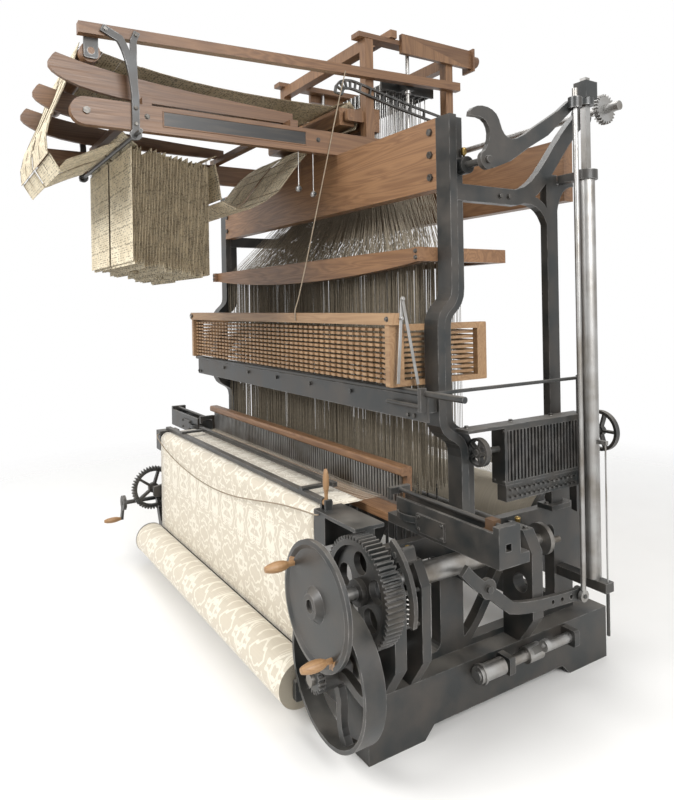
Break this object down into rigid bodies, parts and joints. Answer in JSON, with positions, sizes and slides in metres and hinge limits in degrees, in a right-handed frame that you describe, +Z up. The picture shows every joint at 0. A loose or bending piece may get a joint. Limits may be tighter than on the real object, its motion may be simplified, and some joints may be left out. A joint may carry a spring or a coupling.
{
  "type": "power loom",
  "caption": "Wide power loom with cast-iron ends, geared hand-wheel drive, swinging slay, hung harness and a card-driven pattern machine over it.",
  "frame": {"origin": "on the floor, at the centre of the four foot bolts", "axes": "+X along the cloth's width to the gear end, +Y from the weaver to the back, +Z up"},
  "size_m": [3.18, 2.4079, 3.025],
  "materials": {
    "iron": "satin black paint over castings",
    "steel": "bright turned steel",
    "wood": "oiled hardwood",
    "cord": "waxed linen cord",
    "linen": "figured woven linen",
    "yarn": "sized warp yarn",
    "card": "laced pasteboard",
    "leather": "raw hide"
  },
  "bodies": {
    "frame": {"right_side_frame": "iron", "left_side_frame": "iron", "right_gallery_frame": "iron", "left_gallery_frame": "iron", "front_top_beam": "wood", "rear_top_beam": "wood", "cross_ties": "iron", "comber_frame": "wood", "harness_upper": "cord", "harness_lower": "cord", "lath_rack": "wood", "guard_board": "iron", "breast_beam": "wood", "cloth_bars": "iron", "cloth": "linen", "lingoes": "iron", "warp_sheet": "yarn", "back_rest": "steel", "card_timbers": "wood", "card_guides": "wood", "card_hangers": "iron", "card_piles": "card", "card_chains": "card", "machine_frame": "wood", "needle_box": "wood", "hooks": "steel", "pattern_box": "iron", "shaft_stands": "iron", "left_brackets": "iron", "springs": "steel", "lift_tube": "steel", "bolts": "steel", "stop_cord": "cord", "pull_cord": "cord"},
    "main_drive": {"main_shaft": "steel", "main_gear": "iron", "hand_wheel": "iron"},
    "pulley": {"drive_pulley": "iron", "pulley_shaft": "steel"},
    "slay": {"slay_swords": "iron", "race_board": "wood", "reed": "steel", "hand_rail": "wood", "shuttle_boxes": "iron"},
    "picker_block": {"picker": "leather"},
    "cloth_roll": {"cloth_roller": "linen"},
    "warp_roll": {"warp_beam": "yarn"},
    "treadle": {"treadle_lever": "iron"},
    "lifting_rod": {"lift_rod": "steel"},
    "upper_arm": {"upper_lever": "iron"},
    "griffe_lift": {"griffe": "iron"},
    "cylinder": {"card_cylinder": "wood"},
    "card_roller": {"top_roller": "wood"},
    "start": {"start_handle": "wood"},
    "pattern_shaft": {"pattern_wheels": "iron"},
    "crank": {"left_crank": "iron"},
    "take_up": {"take_up_wheel": "iron"},
    "brake": {"brake_lever": "iron"},
    "cross_shaft": {"top_cross_shaft": "steel"},
    "pick": {"picking_shaft": "steel"}
  },
  "joints": [
    {"name": "main_spin", "type": "hinge", "parent": "frame", "child": "main_drive", "pos_m": [1.16, -0.5, 0.605], "axis": [0, 1, 0], "continuous": true},
    {"name": "pulley_spin", "type": "hinge", "parent": "frame", "child": "pulley", "pos_m": [1.12, -0.6, 0.33798], "axis": [0, 1, 0], "continuous": true},
    {"name": "slay_swing", "type": "hinge", "parent": "frame", "child": "slay", "pos_m": [0, -0.4, 0.16], "axis": [1, 0, 0], "range_deg": [0, 8]},
    {"name": "picker_slide", "type": "slide", "parent": "slay", "child": "picker_block", "axis": [1, 0, 0], "range_m": [-0.42, 0]},
    {"name": "cloth_spin", "type": "hinge", "parent": "frame", "child": "cloth_roll", "pos_m": [0, -0.76, 0.165], "axis": [1, 0, 0], "continuous": true},
    {"name": "warp_spin", "type": "hinge", "parent": "frame", "child": "warp_roll", "pos_m": [0, 0.66, 0.5], "axis": [1, 0, 0], "continuous": true},
    {"name": "treadle_tilt", "type": "hinge", "parent": "frame", "child": "treadle", "pos_m": [1.26, -0.176, 0.53], "axis": [1, 0, 0], "range_deg": [0, 6]},
    {"name": "rod_tilt", "type": "hinge", "parent": "treadle", "child": "lifting_rod", "pos_m": [1.287, 0.34, 0.384], "axis": [1, 0, 0], "range_deg": [-4.7, 0]},
    {"name": "upper_tilt", "type": "hinge", "parent": "frame", "child": "upper_arm", "pos_m": [1.26, -0.143, 2.136], "axis": [1, 0, 0], "range_deg": [0, 6.8]},
    {"name": "griffe_rise", "type": "slide", "parent": "frame", "child": "griffe_lift", "axis": [0, 0, 1], "range_m": [0, 0.0601]},
    {"name": "cylinder_spin", "type": "hinge", "parent": "frame", "child": "cylinder", "pos_m": [-0.17, -0.095, 2.56], "axis": [1, 0, 0], "continuous": true},
    {"name": "roller_spin", "type": "hinge", "parent": "frame", "child": "card_roller", "pos_m": [-0.17, -1.36, 2.64], "axis": [1, 0, 0], "continuous": true},
    {"name": "start_tilt", "type": "hinge", "parent": "frame", "child": "start", "pos_m": [0.9, -0.655, 0.846], "axis": [1, 0, 0], "range_deg": [-12, 12]},
    {"name": "pattern_spin", "type": "hinge", "parent": "frame", "child": "pattern_shaft", "pos_m": [1.186, 0.2, 1.02], "axis": [0, 1, 0], "continuous": true},
    {"name": "crank_spin", "type": "hinge", "parent": "frame", "child": "crank", "pos_m": [-1.26, -0.75, 0.356], "axis": [0, 1, 0], "continuous": true},
    {"name": "take_up_spin", "type": "hinge", "parent": "frame", "child": "take_up", "pos_m": [-1.205, -0.7, 0.44], "axis": [1, 0, 0], "continuous": true},
    {"name": "brake_swing", "type": "hinge", "parent": "frame", "child": "brake", "pos_m": [1.29, -0.616, 0.76], "axis": [0, 1, 0], "range_deg": [-5, 0]},
    {"name": "cross_spin", "type": "hinge", "parent": "frame", "child": "cross_shaft", "pos_m": [0, 0.61, 2.44], "axis": [1, 0, 0], "continuous": true},
    {"name": "pick_rock", "type": "hinge", "parent": "frame", "child": "pick", "pos_m": [1.215, 0, 0.187], "axis": [0, 1, 0], "range_deg": [-10, 0]}
  ],
  "couplings": [
    {"joint": "pulley_spin", "follows": "main_spin", "ratio": -2.2143},
    {"joint": "rod_tilt", "follows": "treadle_tilt", "ratio": -0.7723},
    {"joint": "upper_tilt", "follows": "treadle_tilt", "ratio": 1.1225},
    {"joint": "griffe_rise", "follows": "treadle_tilt", "m_per_rad": 0.57296}
  ]
}
